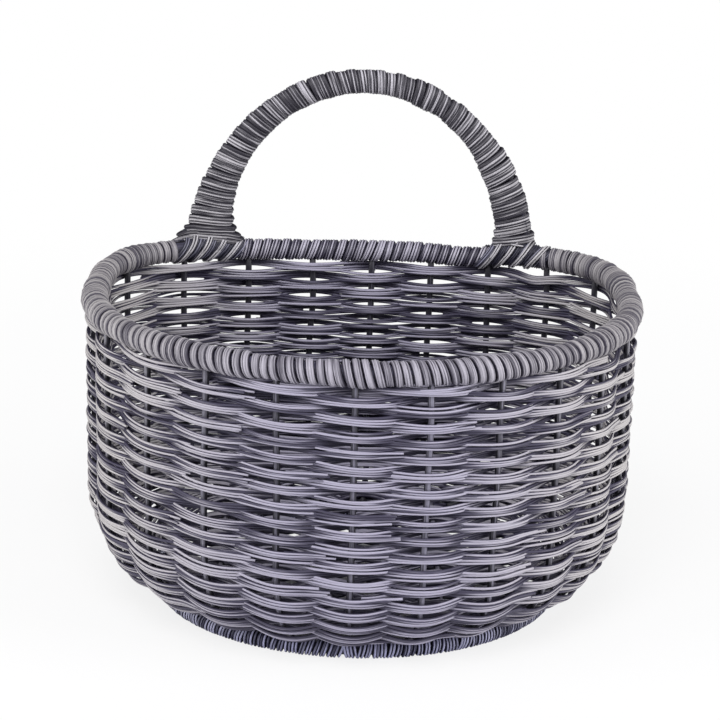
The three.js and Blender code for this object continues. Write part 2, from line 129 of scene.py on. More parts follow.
# %% A finish that makes its own nodes
class Finish:
    """A material, and the methods that add nodes to it."""

    def __init__(self, name):
        self.material = bpy.data.materials.new(name)
        self.material.use_nodes = True
        self.tree = self.material.node_tree
        self.shader = self.tree.nodes["Principled BSDF"]

    def put(self, socket, value):
        """Links a wire to a socket, or sets the socket's own value."""
        if isinstance(value, Wire):
            self.tree.links.new(value.socket, socket)
        else:
            socket.default_value = value

    def add(self, kind, settings, sockets, output=0):
        """Adds a node of a kind, with its settings made first and then its sockets."""
        node = self.tree.nodes.new("ShaderNode" + kind)
        for name, value in settings.items():
            setattr(node, name, value)
        for name, value in sockets.items():
            self.put(node.inputs[name], value)
        return Wire(self, node.outputs[output])

    def shade(self, **sockets):
        """Sets or links sockets of the Principled shader, with _ for a space in their names."""
        for name, value in sockets.items():
            self.put(self.shader.inputs[name.replace("_", " ")], value)

    def stretched(self, vector, scale):
        """A vector multiplied by a scale along each of its axes."""
        return self.add("VectorMath", {"operation": "MULTIPLY"}, {0: vector, 1: scale})

    def mixed(self, share, first, second):
        """A colour mixed from two, with share 0 for the first."""
        settings = {"data_type": "RGBA", "clamp_factor": True}
        return self.add("Mix", settings, {0: share, 6: first, 7: second}, output=2)


# %% [markdown]
# ## The finish of the cane
# Each strand is dark cane with a pale grey wash that was wiped along it. The wash stays as long
# thin streaks, so the pattern has to follow the strand, however it bends. Every mesh below carries
# an attribute for this, `grain`: the place in the strand as it was before it was bent, in
# millimetres, with two numbers across it and one along it. A noise texture that reads this place,
# squeezed across and stretched along, draws streaks that turn every corner with the strand.
# A second attribute, `tone`, is a random number for each strand, or for each turn of a strap,
# since no two took the wash alike. The third attribute says how far the surface stands out of
# the weave, about 1 on a crest and -1 or less in a hollow. The finish paints light and shade from
# it: crests are painted lighter, as a painted highlight, and hollows darker, as painted shade.

# %% Screen colours
def linear(red, green, blue):
    """A screen colour, 0 to 255, as the linear colour that a shader wants: each part over 255,
    and then the power law of screens undone."""
    parts = np.array([red, green, blue]) / 255
    low = parts / 12.92
    high = ((parts + 0.055) / 1.055) ** 2.4
    return (*np.where(parts <= 0.04045, low, high).tolist(), 1.0)


print("middle grey is", linear(128, 128, 128))

# %% Cane finish
STREAK_ALONG = 0.045
FIBRE_ACROSS = 4.5
FIBRE_ALONG = 0.16
STREAK_SHARE = 0.6
COVER_LEVEL = 0.52
MIDDLE_TO_SIDE = (0.015, 0.085)
RELIEF_SHARE = 0.8
BUMP_STRENGTH = 0.35
BUMP_HEIGHT = 0.25
FIBRE_ROUGHNESS = 0.15


def washed_cane(name, dark, pale, middle_light_cast, wash,
                relief_shading_strength=0.1, uneven=0.2, fine=1.9, blend=0.2, gloss=0.54):
    """Dark cane with pale streaks, in screen colours. The third colour takes the place of the pale
    one
    in the middle of the basket: a painted colour cast of the light there. wash is how much of the
    surface the wash covers, the number after it how much lighter the crests and how much darker
    the hollows are painted, as painted highlight and shade, and uneven how much strands or turns
    differ.
    fine is the number of streaks across a millimetre, and blend how softly they end.

    The pale share is a smooth step, blend to either side of COVER_LEVEL, of streaks and fibres
    mixed by STREAK_SHARE + (tone - 0.5) * uneven + painted relief shading * its strength + wash -
    0.5."""
    finish = Finish(name)
    grain = finish.add("Attribute", {"attribute_name": "grain"}, {}, output=1)
    tone = finish.add("Attribute", {"attribute_name": "tone"}, {}, output=2)
    painted_relief_shading = finish.add("Attribute", {"attribute_name": "painted_relief_shading"}, {}, output=2)
    streak_place = finish.stretched(grain, (fine, fine, STREAK_ALONG))
    fibre_place = finish.stretched(grain, (FIBRE_ACROSS, FIBRE_ACROSS, FIBRE_ALONG))
    streaks = finish.add("TexNoise", {}, {"Vector": streak_place, "Scale": 1.0, "Detail": 2.0})
    fibres = finish.add("TexNoise", {}, {"Vector": fibre_place, "Scale": 1.0, "Detail": 1.0})
    pattern = streaks * STREAK_SHARE + fibres * (1 - STREAK_SHARE)
    # Painted light and shade are added to the wash here: crests lighter, hollows and furrows
    # darker.
    wash_and_shading_level = pattern + (tone - 0.5) * uneven + painted_relief_shading * relief_shading_strength + (wash - 0.5)
    wash_and_shading_share = wash_and_shading_level.eased(COVER_LEVEL - blend, COVER_LEVEL + blend)
    # In the middle of the basket, by the distance from it along X, the pale colour gives way to
    # the third one: a painted colour cast of the light there.
    place = finish.add("TexCoord", {}, {}, output=3)
    sideways = finish.add("SeparateXYZ", {}, {0: place}, output=0)
    apart = finish.add("Math", {"operation": "ABSOLUTE"}, {0: sideways})
    tint = finish.mixed(apart.eased(*MIDDLE_TO_SIDE), linear(*middle_light_cast), linear(*pale))
    colour = finish.mixed(wash_and_shading_share, linear(*dark), tint)
    relief = streaks * RELIEF_SHARE + fibres * (1 - RELIEF_SHARE)
    bump = finish.add("Bump", {}, {
        "Height": relief, "Strength": BUMP_STRENGTH, "Distance": BUMP_HEIGHT * MM})
    roughness = 1 - gloss + fibres * FIBRE_ROUGHNESS
    finish.shade(Base_Color=colour, Roughness=roughness, Normal=bump)
    return finish.material


# %% The kinds of cane
# In each finish the third colour is a painted cast of the light in the middle of the basket, and
# the number after the wash sets the painted highlight on crests and the painted shade in hollows.
WEAVE_CANE = washed_cane(
    "grey-washed weaving cane", dark=(55, 51, 72), pale=(178, 174, 174), middle_light_cast=(159, 155, 175),
    wash=0.44, relief_shading_strength=0.36, uneven=0.72, fine=2.6, blend=0.17)
RIM_CANE = washed_cane(
    "grey-washed rim strap", dark=(60, 56, 70), pale=(164, 160, 161), middle_light_cast=(170, 166, 179),
    wash=0.33, relief_shading_strength=0.3, uneven=0.12, fine=2.8, blend=0.15)
BOW_CANE = washed_cane(
    "grey-washed bow strap", dark=(38, 35, 46), pale=(191, 188, 190), middle_light_cast=(184, 181, 190),
    wash=0.28, relief_shading_strength=0.32, uneven=0.14, fine=3.4, blend=0.11)
LASHING_CANE = washed_cane(
    "dark lashing cane", dark=(44, 40, 58), pale=(188, 184, 189), middle_light_cast=(178, 174, 190),
    wash=0.31, relief_shading_strength=0.38, uneven=0.16, fine=3.2, blend=0.11)
GROUND_CANE = washed_cane(
    "darkest lashing cane", dark=(34, 33, 50), pale=(156, 155, 168), middle_light_cast=(146, 144, 172),
    wash=0.24, relief_shading_strength=0.32, uneven=0.25, fine=3.2, blend=0.11)
# The foot band's cane is painted darker than the lashing cane: painted shade, where the band lies
# low under the wall.
SHADED_FOOT_CANE = washed_cane(
    "foot cane painted darker for shade", dark=(38, 37, 63), pale=(178, 178, 194), middle_light_cast=(168, 168, 202),
    wash=0.31, relief_shading_strength=0.36, uneven=0.3, fine=3.2, blend=0.12)
STAKE_CANE = washed_cane(
    "dark stake cane", dark=(36, 34, 44), pale=(146, 144, 152), middle_light_cast=(136, 133, 152),
    wash=0.42, relief_shading_strength=0.26, gloss=0.5)
ROD_CANE = washed_cane(
    "dark rod cane", dark=(24, 22, 36), pale=(84, 82, 98), middle_light_cast=(78, 75, 104),
    wash=0.42, gloss=0.45)
print("finishes:", len(bpy.data.materials))

# %% [markdown]
# ## Carrying a profile along a path
# Nearly every piece of a basket is a strand: one small cross-section that travels a long way. So
# one function makes them all. At each step of the path it squares the given normal to the
# direction of travel, and places the profile's points in that plane. All strands of a group are
# worked out together as one array, strands by steps by profile points.

# %% Profiles and faces
ROUND_SIDES = 6
ROD_SIDES = 10


def round_profile(radius, sides=ROUND_SIDES):
    """Points (cos, sin) * radius at equal angles round a circle."""
    angle = 2 * np.pi * np.arange(sides) / sides
    return radius * np.column_stack([np.cos(angle), np.sin(angle)])


def unit(vectors):
    """Vectors divided by their lengths."""
    return vectors / np.linalg.norm(vectors, axis=-1, keepdims=True)


def strand_faces(count, steps, sides, closed):
    """The corner numbers of strands' faces: a quad between each two neighbours of one step and
    the same two of the next, and a cap at each end of an open strand."""
    corner = np.arange(count * steps * sides).reshape(count, steps, sides)
    if closed:
        here, ahead = corner, np.roll(corner, -1, axis=1)
        caps = np.empty((0, sides), int)
    else:
        here, ahead = corner[:, :-1], corner[:, 1:]
        caps = np.concatenate([corner[:, 0, ::-1], corner[:, -1]])
    square = [here, np.roll(here, -1, axis=2), np.roll(ahead, -1, axis=2), ahead]
    return np.stack(square, axis=-1).reshape(-1, 4), caps


# %% Strands
# How much darker the sides of strands, down in the furrows between them, are painted: painted
# shade.
FURROW_PAINTED_SHADE = 1.2
GRAIN_SPREAD = 900
GRAIN_ACROSS = 0.37


def strands(path, normal, profile, swell=1.0, closed=False, seed=0, crest=1.0, tone=None):
    """Carries a profile along one or more paths, given as strands x steps x 3. crest, from -1 to 1
    along the path, is how far the side that the normal points to stands out of the weave, and the
    other side has the opposite. The finish paints light and shade from it: the side that stands
    out is painted lighter and the other darker, and the sides of each strand, down in the furrows
    between strands, are painted darker still, as painted shade. tone is one value for each step of
    the path, or else one random value for each strand.

    A profile point (a, b) goes to path + swell * (a * across + b * up), where up is the normal
    made square to the path's direction, and across is up x direction. With facing as b over its
    largest value, the painted light and shade is crest * facing - the furrow shade * (1 -
    |facing|)."""
    path = path if path.ndim == 3 else path[None]
    normal = np.broadcast_to(normal, path.shape)
    if closed:
        heading = unit(np.roll(path, -1, axis=1) - np.roll(path, 1, axis=1))
    else:
        heading = unit(np.gradient(path, axis=1))
    up = unit(normal - heading * np.sum(normal * heading, axis=-1, keepdims=True))
    across = np.cross(up, heading)
    size = np.broadcast_to(np.asarray(swell, float), path.shape[:2])[..., None, None]
    points = path[:, :, None] + size * (
        profile[:, 0, None] * across[:, :, None] + profile[:, 1, None] * up[:, :, None])

    # Each strand starts at its own place in the noise, so no two have the same streaks.
    count, steps, sides = points.shape[:3]
    step_length = np.linalg.norm(np.diff(path, axis=1), axis=-1)
    along = np.concatenate([np.zeros((count, 1)), np.cumsum(step_length, axis=1)], axis=1)
    chance = np.random.default_rng(seed)
    offset = chance.uniform(0, GRAIN_SPREAD, (count, 1, 1))
    grain = np.empty((count, steps, sides, 3))
    grain[..., 0] = profile[:, 0] + GRAIN_ACROSS * offset
    grain[..., 1] = profile[:, 1]
    grain[..., 2] = along[..., None] + offset

    if tone is None:
        tone = chance.uniform(0, 1, (count, 1))
    tone = np.repeat(np.broadcast_to(tone, (count, steps)), sides)
    crest = np.broadcast_to(np.asarray(crest, float), (count, steps))[..., None]
    facing = profile[:, 1] / np.abs(profile[:, 1]).max()
    painted_relief_shading = crest * facing - FURROW_PAINTED_SHADE * (1 - np.abs(facing))
    quads, caps = strand_faces(count, steps, sides, closed)
    return {
        "points": points.reshape(-1, 3), "grain": grain.reshape(-1, 3), "tone": tone,
        "painted_relief_shading": painted_relief_shading.reshape(-1), "quads": quads, "caps": caps,
    }


# %% A piece made of strands
ATTRIBUTES = (
    ("grain", "FLOAT_VECTOR", "vector"), ("tone", "FLOAT", "value"), ("painted_relief_shading", "FLOAT", "value"))


def make_piece(name, groups, finish, nodes=()):
    """Joins groups of strands into one mesh, gives it its finish and sets it on the basket, in
    the place of the CAD nodes that it stands for."""
    starts = np.cumsum([0] + [len(group["points"]) for group in groups])
    points = np.concatenate([group["points"] for group in groups]) * MM
    faces = [group[kind] + start for kind in ("quads", "caps")
             for group, start in zip(groups, starts)]
    sizes = np.concatenate([np.full(len(block), block.shape[1]) for block in faces])
    corners = np.concatenate([block.ravel() for block in faces])

    mesh = bpy.data.meshes.new(name)
    mesh.vertices.add(len(points))
    mesh.vertices.foreach_set("co", points.astype(np.float32).ravel())
    mesh.loops.add(len(corners))
    mesh.loops.foreach_set("vertex_index", corners.astype(np.int32))
    mesh.polygons.add(len(sizes))
    mesh.polygons.foreach_set("loop_start", (np.cumsum(sizes) - sizes).astype(np.int32))
    mesh.update(calc_edges=True)
    mesh.polygons.foreach_set("use_smooth", sizes == 4)
    for attribute, kind, field in ATTRIBUTES:
        values = np.concatenate([group[attribute] for group in groups]).astype(np.float32)
        mesh.attributes.new(attribute, kind, "POINT").data.foreach_set(field, values.ravel())
    mesh.materials.append(finish)

    piece = new_object(name, mesh)
    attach(piece, "root")
    if nodes:
        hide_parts(*nodes)
    print(f"{name}: {int((sizes - 2).sum())} triangles")


# %% Smooth steps and smooth chance
def smooth_step(share):
    """A share, held between 0 and 1, eased at both ends: 3 t^2 - 2 t^3."""
    share = np.clip(share, 0, 1)
    return share * share * (3 - 2 * share)


def wander(places, spacing, size, seed):
    """Smooth random values at some places along a line: random heights at every spacing, joined
    by half a cosine wave. The pairs named ..._WANDER below are a spacing and a size."""
    places = np.asarray(places, float)
    first = np.floor(places.min() / spacing)
    count = int(places.max() / spacing - first) + 3
    heights = np.random.default_rng(seed).normal(0, size, count)
    spot = places / spacing - first
    low = np.floor(spot).astype(int)
    ease = (1 - np.cos(np.pi * (spot - low))) / 2
    return heights[low] * (1 - ease) + heights[low + 1] * ease


def running_length(steps):
    """The sum of the steps up to each point of a line, with 0 for the first."""
    return np.concatenate([[0], np.cumsum(steps)])


# %% [markdown]
# ## The plan of the basket
# Seen from above the basket is half an ellipse in front and a squarer curve behind. Both are the
# same formula, a superellipse, with a different exponent and reach on either side of the widest
# line. The foot, the wall and the rim each follow this curve at their own size: half the width,
# the reach to the front and the reach to the back. A ruler measures the curve, so that stakes and
# turns of cane can be spaced evenly.

# %% Plan curves and their rulers
WIDEST_Y = 8
FRONT_EXPONENT = 2
BACK_EXPONENT = 3.5
RIM_PLAN = (81, 61, 61)
WALL_PLAN = (81.5, 61.5, 60)
FOOT_PLAN = (60.5, 45, 55.5)
CLOSE_ANGLE = 0.002
RULER_POINTS = 2881
UP = np.array([0.0, 0.0, 1.0])


def plan_point(plan, angle):
    """A superellipse: |x / half width|^e + |y / reach|^e = 1, at a turning angle, where e and the
    reach change at the widest line."""
    half_width, front, back = plan
    c, s = np.cos(angle), np.sin(angle)
    exponent = np.where(s < 0, FRONT_EXPONENT, BACK_EXPONENT)
    reach = np.where(s < 0, front + WIDEST_Y, back - WIDEST_Y)
    r = (np.abs(c) ** exponent + np.abs(s) ** exponent) ** (-1 / exponent)
    return np.stack([half_width * r * c, WIDEST_Y + reach * r * s, 0 * c], axis=-1)


def plan_side(plan, angle):
    """The level direction along a plan curve, counter-clockwise, from two close points on it."""
    return unit(plan_point(plan, angle + CLOSE_ANGLE) - plan_point(plan, angle - CLOSE_ANGLE))


def plan_ruler(plan):
    """The length of a plan curve, and the turning angle at any distance along it, measured
    counter-clockwise from the middle of its front and looked up in a table."""
    angles = np.linspace(-np.pi / 2, 1.5 * np.pi, RULER_POINTS)
    along = running_length(np.linalg.norm(np.diff(plan_point(plan, angles), axis=0), axis=1))

    def angle_at(distance):
        rounds = np.floor(distance / along[-1])
        return np.interp(distance - rounds * along[-1], along, angles) + 2 * np.pi * rounds

    return along[-1], angle_at


rim_length, rim_angle = plan_ruler(RIM_PLAN)
foot_length, foot_angle = plan_ruler(FOOT_PLAN)
wall_length, wall_angle = plan_ruler(WALL_PLAN)
print(f"round the rim {rim_length:.0f} mm, wall {wall_length:.0f} mm, foot {foot_length:.0f} mm")

# %% [markdown]
# ## The shape of the wall
# The wall leaves the foot almost level and turns upright in one even sweep. Its upright section is
# a quarter of a superellipse too, and then a straight line up to the rim. `height` below is 0 at
# the foot and 1 at the top, measured along the wall, so that rows of weaving lie evenly on it.

# %% Wall surface
WALL_FOOT_Z = 7.6
WALL_TOP_Z = 89.7
TURN_HEIGHT = 28.6
SIDE_ROUNDNESS = 1.95
FRONT_ROUNDNESS = 2.4
TURN_POINTS = 241
STRAIGHT_POINTS = 61


def wall_place(angle, level):
    """The wall's middle surface. From level 0 to 1 the outward share of the way from foot to wall
    plan is sin(phi)^(2/n) and the rise is 1 - cos(phi)^(2/n), with phi a quarter turn and n the
    roundness; from 1 to 2 it rises straight to the rim."""
    phi = np.pi / 2 * np.minimum(level, 1)
    power = 2 / (SIDE_ROUNDNESS + (FRONT_ROUNDNESS - SIDE_ROUNDNESS) * np.sin(angle) ** 2)
    outward = (np.sin(phi) ** power)[..., None]
    turned = WALL_FOOT_Z + TURN_HEIGHT * (1 - np.maximum(np.cos(phi), 0) ** power)
    place = (1 - outward) * plan_point(FOOT_PLAN, angle) + outward * plan_point(WALL_PLAN, angle)
    place[..., 2] = turned + (WALL_TOP_Z - turned) * np.maximum(level - 1, 0)
    return place


# The length up the wall is the mean of three sections: front, side and back.
section_levels = np.concatenate(
    [np.linspace(0, 1, TURN_POINTS), np.linspace(1, 2, STRAIGHT_POINTS)[1:]])
sections = [wall_place(np.full(len(section_levels), section_angle), section_levels)
            for section_angle in (-np.pi / 2, 0.0, np.pi / 2)]
section_steps = sum(np.linalg.norm(np.diff(section, axis=0), axis=1) for section in sections)
section_along = running_length(section_steps) / len(sections)

# %% Places on the wall, counted in stakes
STAKE_COUNT = 23
FIRST_STAKE = -8
STAKE_DRIFT = 6.8
DRIFT_START = 2.6
stake_pitch = wall_length / STAKE_COUNT


def stake_distance(places):
    """The distance along the wall at a count of stakes. The stakes stand wider apart in front than
    at the back: a cosine with one period round the basket moves them along."""
    drift = STAKE_DRIFT * np.cos(2 * np.pi * (places - DRIFT_START) / STAKE_COUNT)
    return FIRST_STAKE + places * stake_pitch + drift


def wall_at(places, height, offset=0.0, shift=0.0):
    """A point on the wall and its outward normal. places counts stakes from the first one, height
    runs from 0 to 1, and offset and shift move the point outwards and up the wall."""
    angle = wall_angle(stake_distance(places))
    level = np.interp(height * section_along[-1] + shift, section_along, section_levels)
    phi = (np.pi / 2 * np.minimum(level, 1))[..., None]
    side = plan_side(WALL_PLAN, angle)
    out = np.cross(side, UP) * np.sin(phi) - UP * np.cos(phi)
    return wall_place(angle, level) + out * np.asarray(offset)[..., None], out


print(f"a wall {section_along[-1]:.0f} mm high, with a stake every {stake_pitch:.1f} mm")

# %% [markdown]
# ## Stakes
# The stakes are the uprights that everything else is woven round: dark lengths of cane that start
# under the foot band, follow the wall and end in the rim. Each is an oval, nearly a circle,
# carried along the wall at one place, with a little sideways wander.

# %% Stakes
STAKE_SIDES = 8
STAKE_HALVES = (1.0, 0.95)
STAKE_STEPS = 48
STAKE_INTO_RIM = 3.0
STAKE_WANDER = (22, 0.018)
# The stakes' outer sides are painted lighter and their inner sides darker, by this share of a full
# crest: painted highlight and shade.
STAKE_CREST = 0.6

stake_profile = round_profile(1, STAKE_SIDES) * STAKE_HALVES
stake_height = np.linspace(0, 1, STAKE_STEPS)
for k in range(STAKE_COUNT):
    places = k + wander(stake_height * 100, *STAKE_WANDER, 300 + k)
    path, out = wall_at(places, stake_height)
    path[-1] += [0, 0, STAKE_INTO_RIM]
    group = strands(path, out, stake_profile, seed=k, crest=STAKE_CREST)
    make_piece(f"stake_cane_{k + 1:02d}", [group], STAKE_CANE, [f"stake_{k + 1:02d}"])

# %% [markdown]
# ## The woven wall
# The weave is one bundle of four thin strands that spirals up the wall, in front of one stake and
# behind the next. With an odd number of stakes it changes sides by itself on each round, which is
# why basket makers choose an odd number. Its offset from the wall is a cosine wave with a crest at
# every second stake. The bundle slopes down across each stake that it covers, and fans out half
# way to the next, where the rows cross. On the flat back it doesn't slope, so the gaps that light
# shines through lie evenly on both sides of a stake. Low on the wall and at the back its strands
# are a little thicker, which closes the rows up.
# The strands aren't endless. Every ten stakes or so each of them ends with a blunt cut that stands
# proud of the wall, and a new one starts just before the cut, tucked in behind it. The last round
# runs on for four stakes more, under the rim, so that its end doesn't leave a hole. The wall is
# three pieces, by height, so that no mesh gets too heavy.

# %% How the rows lie
ROWS = 35
TOP_TUCK = 1.0
BACK_TUCK = 1.35
BACK_PLACE = 12.4
BACK_HALF = 5.4
CORNER_GAP = 1.6
CORNER_GAP_PLACE = 9.2
CORNER_GAP_WIDTH = 0.3
LAST_TWO_ROUNDS = (0.93, 0.07)
LAST_SEVEN_ROUNDS = (0.8, 0.2)

total_places = STAKE_COUNT * ROWS
row_pitch = section_along[-1] / (ROWS + 1)


def at_back(places):
    """1 on the basket's flat back and 0 elsewhere: exp(-t^4), with t the places from its middle
    over BACK_HALF."""
    return np.exp(-((places % STAKE_COUNT - BACK_PLACE) / BACK_HALF) ** 4)


def climbed(places, start, length):
    """0 up to a share of the whole weave, and 1 from a length later on."""
    return np.clip((places / total_places - start) / length, 0, 1)


def row_shift(places):
    """How far rows stray from their even places, in millimetres: the last rounds are pushed up
    under the rim, at the back seven of them, and at the back's right corner they sag, by
    exp(-t^2), so that light shows below the rim."""
    high = climbed(places, *LAST_TWO_ROUNDS)
    sag = np.exp(-((places % STAKE_COUNT - CORNER_GAP_PLACE) / CORNER_GAP_WIDTH) ** 2)
    last_rounds = climbed(places, *LAST_SEVEN_ROUNDS)
    tuck = TOP_TUCK * high ** 2 + BACK_TUCK * at_back(places) * last_rounds ** 1.5
    return tuck - CORNER_GAP * sag * last_rounds ** 3


print(f"{ROWS} rows, {row_pitch:.2f} mm apart")

# %% One strand of the bundle
ROW_GAP = 0.9
STRAND_RADIUS = 0.42
STRAND_STEP = 0.65
WAVE = 2.0
SLOPE = 0.4
FAN = 0.2
CROWN = 0.07
PACKED = 0.12
PACKED_BELOW = 0.6
PACKED_EASE = 0.25
BACK_FULLER = 0.17
STEPS_PER_STAKE = 12
FEWEST_STEPS = 8
END_REACH = 0.7
END_SWING = 0.62
START_REACH = 0.5
START_TUCK = 0.9
DEPTH_WANDER = (1.3, 0.13)
STRAND_WANDER = (1.6, 0.11)
ROW_WANDER = (1.9, 0.17)
ROW_SEED = 77


def weaver(first, last, lane, seed):
    """One strand of the bundle from one count of stakes to another. Its swing is
    cos(pi * places), 1 outside a stake and -1 inside the next, and lane is its place in the
    bundle. Towards its end the swing goes over to END_SWING, so the end stays outside. It is
    shifted up the wall by lane * (STRAND_STEP + FAN * (1 - |swing|)), less
    SLOPE * sin(pi * places), and some wander of its own and of its row."""
    steps = max(FEWEST_STEPS, int((last - first) * STEPS_PER_STAKE))
    places = np.linspace(first, last, steps)
    ending = smooth_step(1 - (last - places) / END_REACH)
    swing = np.cos(np.pi * places) * (1 - ending) + END_SWING * ending
    offset = WAVE * swing + wander(places, *DEPTH_WANDER, seed) - CROWN * lane ** 2
    offset -= START_TUCK * np.clip(1 - (places - first) / START_REACH, 0, 1)
    packed = 1 + PACKED * np.clip((PACKED_BELOW - places / total_places) / PACKED_EASE, 0, 1)
    packed += BACK_FULLER * at_back(places)
    shift = packed * lane * (STRAND_STEP + FAN * (1 - np.abs(swing)) * (1 - ending))
    own_and_row = wander(places, *STRAND_WANDER, seed + 1) + wander(places, *ROW_WANDER, ROW_SEED)
    shift += own_and_row + row_shift(places)
    shift -= SLOPE * (1 - at_back(places)) * np.sin(np.pi * places) * (1 - ending)
    middle = (row_pitch - ROW_GAP) / 2 + row_pitch * places / STAKE_COUNT
    path, out = wall_at(places, middle / section_along[-1], offset, shift)
    # The swing also sets the painted light and shade: the outer side is painted lighter where the
    # strand passes outside a stake, and darker where it passes inside.
    return strands(path, out, round_profile(STRAND_RADIUS), swell=packed, seed=seed, crest=swing)


# %% Where strands end, and the whole wall
LANES = (-1.5, -0.5, 0.5, 1.5)
WALL_PARTS = ("low", "middle", "high")
CUT_EVERY = (5, 11)
CUT_MEAN = 8
CUT_PLACE = (0.5, 0.8)
CUT_SHARE = 0.75
CUT_SCATTER = 0.1
START_BEFORE = 0.55
OVERLAP = 4


def weave_cuts(seed):
    """The places where the bundle's strands may end: past a stake that they cover, at an even
    count of stakes, and before the next one."""
    chance = np.random.default_rng(seed)
    gaps = chance.uniform(*CUT_EVERY, total_places // CUT_MEAN)
    covered = 2 * np.round(np.cumsum(gaps) / 2)
    covered = covered[covered < total_places - CUT_MEAN]
    return covered + chance.uniform(*CUT_PLACE, len(covered))


bundle_cuts = weave_cuts(41)
wall_groups = {part: [] for part in WALL_PARTS}
for lane in LANES:
    chance = np.random.default_rng(int(50 + 2 * lane))
    own = bundle_cuts[chance.random(len(bundle_cuts)) < CUT_SHARE]
    cuts = own + chance.uniform(-CUT_SCATTER, CUT_SCATTER, len(own))
    ends = np.append(cuts, total_places + OVERLAP)
    starts = np.append(0, cuts - START_BEFORE)
    for count, (first, last) in enumerate(zip(starts, ends)):
        third = min(2, int(1.5 * (first + last) / total_places))
        strand = weaver(first, last, lane, int(2000 * (lane + 2)) + 10 * count)
        wall_groups[WALL_PARTS[third]].append(strand)

for part, groups in wall_groups.items():
    make_piece(f"wall_weave_{part}", groups, WEAVE_CANE, ["woven_wall"])
print("strands in the wall:", sum(len(groups) for groups in wall_groups.values()))

# %% [markdown]
# ## The floor
# The floor is plain weaving too: weavers from side to side, over and under the bars that run from
# front to back. Each row ends where the foot ring's curve cuts it.

# %% Floor weave
FLOOR_PLAN = (60.2, 44.7, 55.2)
FLOOR_Z = 7.6
FLOOR_ROWS = 26
FLOOR_WAVE = 1.7
FLOOR_STEP = 0.88
FLOOR_STRAND_RADIUS = 0.46
FLOOR_END_GAP = 1
FLOOR_STEPS_PER_MM = 1.2
FLOOR_LIFT_WANDER = (9, 0.07)
FLOOR_SIDE_WANDER = (15, 0.1)
BAR_SPACING = 17


def other_share(share, exponent):
    """A superellipse solved for its other coordinate: (1 - share^e)^(1/e)."""
    return (1 - share ** exponent) ** (1 / exponent)


def floor_half(y):
    """Half of the floor's width at y."""
    half_width, front, back = FLOOR_PLAN
    if y < WIDEST_Y:
        return half_width * other_share((WIDEST_Y - y) / (front + WIDEST_Y), FRONT_EXPONENT)
    return half_width * other_share((y - WIDEST_Y) / (back - WIDEST_Y), BACK_EXPONENT)


floor_groups = []
floor_profile = round_profile(FLOOR_STRAND_RADIUS)
floor_pitch = (FLOOR_PLAN[1] + FLOOR_PLAN[2]) / (FLOOR_ROWS + 1)
for row in range(FLOOR_ROWS):
    y = (row + 1) * floor_pitch - FLOOR_PLAN[1]
    half = floor_half(y) - FLOOR_END_GAP
    x = np.linspace(-half, half, int(half * FLOOR_STEPS_PER_MM) + 4)
    swing = np.cos(np.pi * (x / BAR_SPACING + 0.5 + row))
    for lane in LANES:
        seed = int(5000 + 10 * row + 2 * lane)
        z = FLOOR_Z + FLOOR_WAVE * swing + wander(x, *FLOOR_LIFT_WANDER, seed)
        lane_y = y + FLOOR_STEP * lane + wander(x, *FLOOR_SIDE_WANDER, seed + 200)
        path = np.column_stack([x, lane_y, z])
        floor_groups.append(strands(path, UP, floor_profile, seed=seed, crest=swing))
make_piece("floor_weave", floor_groups, WEAVE_CANE, ["floor_panel"])

# %% Floor bars
BAR_COUNT = 6
BAR_RADIUS = 1.1
BAR_STEPS = 20


def floor_reach(x):
    """The floor's edge in front and behind, at x to either side."""
    half_width, front, back = FLOOR_PLAN
    ahead = other_share(x / half_width, FRONT_EXPONENT)
    behind = other_share(x / half_width, BACK_EXPONENT)
    return WIDEST_Y - ahead * (front + WIDEST_Y), WIDEST_Y + behind * (back - WIDEST_Y)


for i in range(BAR_COUNT):
    x = (i - (BAR_COUNT - 1) / 2) * BAR_SPACING
    front, back = floor_reach(abs(x) + BAR_RADIUS)
    y = np.linspace(front, back, BAR_STEPS)
    path = np.column_stack([np.full(BAR_STEPS, x), y, np.full(BAR_STEPS, FLOOR_Z)])
    group = strands(path, UP, round_profile(BAR_RADIUS, ROD_SIDES), seed=600 + i)
    make_piece(f"floor_bar_cane_{i + 1}", [group], STAKE_CANE, [f"floor_bar_{i + 1}"])

# %% [markdown]
# ## The rim's middle line
# Rim, foot and bow are each a stiff rod that is bound from end to end. Only slivers of the rods
# show between the turns, but those slivers are the dark lines that make a binding look bound.
# The rim isn't quite level: between the bow's feet it sags, most of all beside the right one, and
# its binding is thinner there.

# %% Rim line
RIM_Z = 94
BACK_SAG = 0.3
DIP = 1.1
DIP_X = 33
DIP_WIDTH = 10
FEET_EASE = 8
BACK_POINTS = 2000
BOW_HALF_SPAN = 49.5


def back_distance(x):
    """The distance along the rim of its point at x on the back, by looking it up."""
    distance = np.linspace(rim_length / 4, 3 * rim_length / 4, BACK_POINTS)
    return np.interp(-x, -plan_point(RIM_PLAN, rim_angle(distance))[:, 0], distance)


right_foot = back_distance(BOW_HALF_SPAN)
left_foot = back_distance(-BOW_HALF_SPAN)


def between_feet(distance):
    """1 on the back between the bow's feet, 0 elsewhere, with smooth steps FEET_EASE long."""
    inside = np.minimum(distance % rim_length - right_foot, left_foot - distance % rim_length)
    return smooth_step(inside / FEET_EASE)


def rim_middle(distance):
    """The rim's middle line: its plan curve at its height, less the sag between the feet and a
    dip, shaped as exp(-t * t), beside the right foot."""
    place = plan_point(RIM_PLAN, rim_angle(distance))
    dip = DIP * np.exp(-((place[..., 0] - DIP_X) / DIP_WIDTH) ** 2)
    place[..., 2] = RIM_Z - (BACK_SAG + dip) * between_feet(distance)
    return place


print(f"the bow's feet stand {left_foot - right_foot:.0f} mm apart along the rim")

# %% Rim and foot rods
RIM_ROD_RADIUS = 2.6
FOOT_Z = 2.3
FOOT_ROD_RADIUS = 1.6
HOOP_STEPS = 180
HOOP_SIDES = 12

